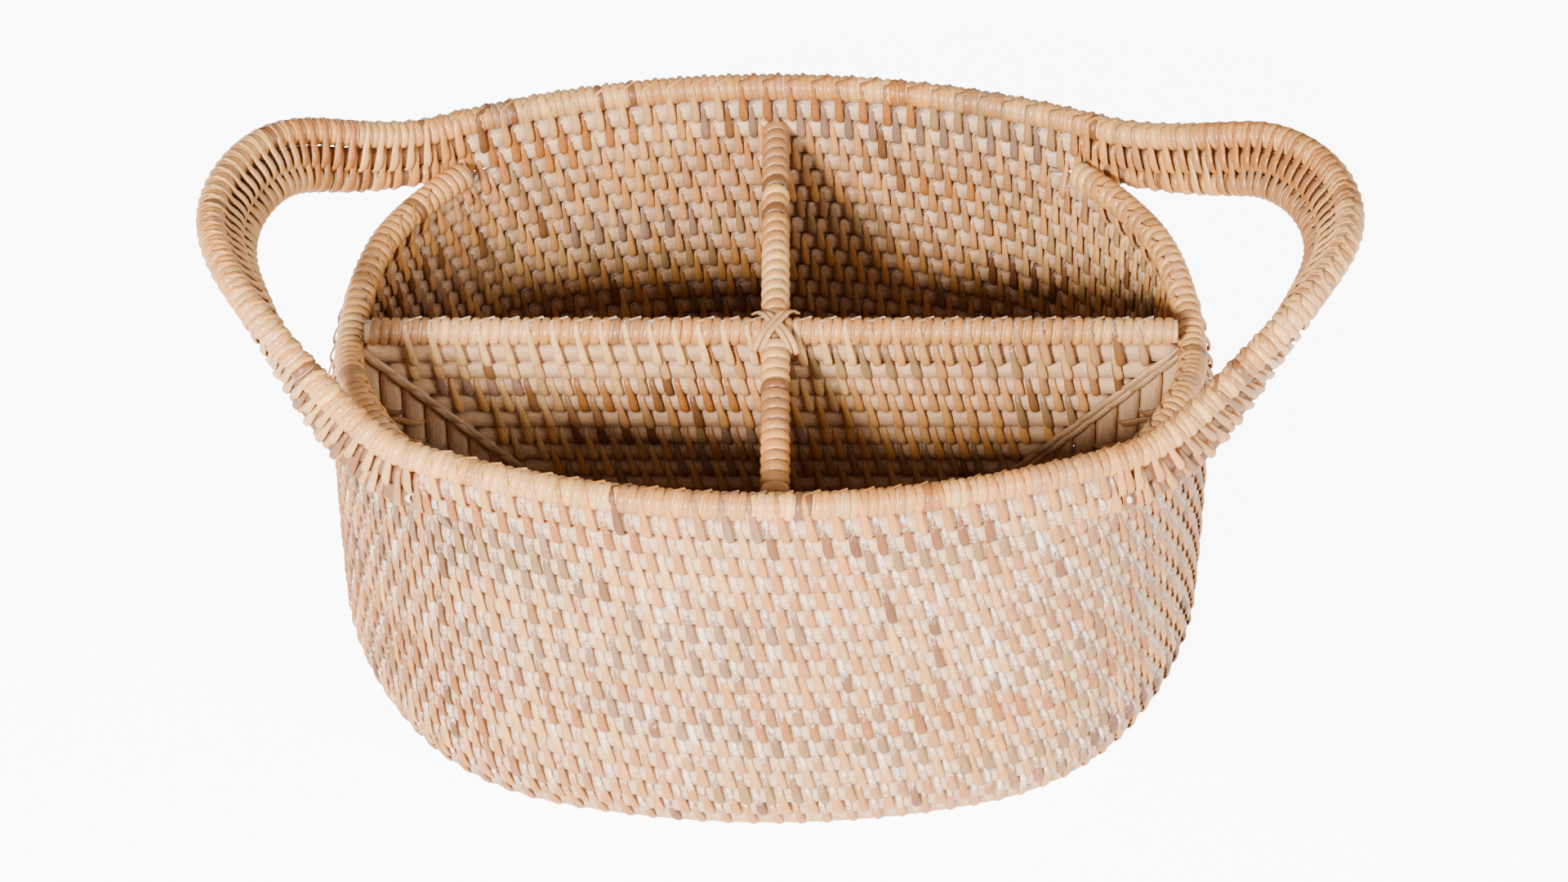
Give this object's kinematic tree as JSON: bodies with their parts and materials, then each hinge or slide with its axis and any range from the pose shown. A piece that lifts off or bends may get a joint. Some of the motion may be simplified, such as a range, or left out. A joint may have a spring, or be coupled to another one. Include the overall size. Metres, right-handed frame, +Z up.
{
  "type": "woven basket",
  "caption": "Oval coiled rattan basket with woven dividers inside and a rim that swings out at both ends as upswept open handles.",
  "frame": {"origin": "middle of the flat underside", "axes": "+X along the basket's length towards one handle, +Y towards the back wall, +Z up"},
  "size_m": [0.3881, 0.237, 0.189],
  "materials": {
    "cane_stitch": "satin split cane, honey to brown, whitewashed in the recesses",
    "rattan_core": "pale bare rattan core rod with fine grain, whitewashed",
    "cane_rim_wrap": "close wrapped glossy split cane, cream to tan",
    "lashing": "satin split cane"
  },
  "bodies": {
    "root": {"back_divider": "cane_stitch", "back_divider_rim": "cane_rim_wrap", "band_rod_lower": "cane_rim_wrap", "band_rod_upper": "cane_rim_wrap", "base_mat": "cane_stitch", "cross_divider": "cane_stitch", "cross_divider_rim": "cane_rim_wrap", "cross_lashing": "lashing", "front_divider": "cane_stitch", "front_divider_rim": "cane_rim_wrap", "side_rim_left": "cane_rim_wrap", "side_rim_right": "cane_rim_wrap", "top_rim": "cane_rim_wrap", "wall_course_01": "cane_stitch", "wall_course_02": "cane_stitch", "wall_course_03": "cane_stitch", "wall_course_04": "cane_stitch", "wall_course_05": "cane_stitch", "wall_course_06": "cane_stitch", "wall_course_07": "cane_stitch", "wall_course_08": "cane_stitch", "wall_course_09": "cane_stitch", "wall_course_10": "cane_stitch", "wall_course_11": "cane_stitch", "wall_course_12": "cane_stitch", "wall_course_13": "cane_stitch", "wall_course_14": "cane_stitch", "wall_course_15": "cane_stitch", "wall_course_16": "cane_stitch", "wall_course_17_back": "cane_stitch", "wall_course_17_front": "cane_stitch"}
  },
  "joints": []
}
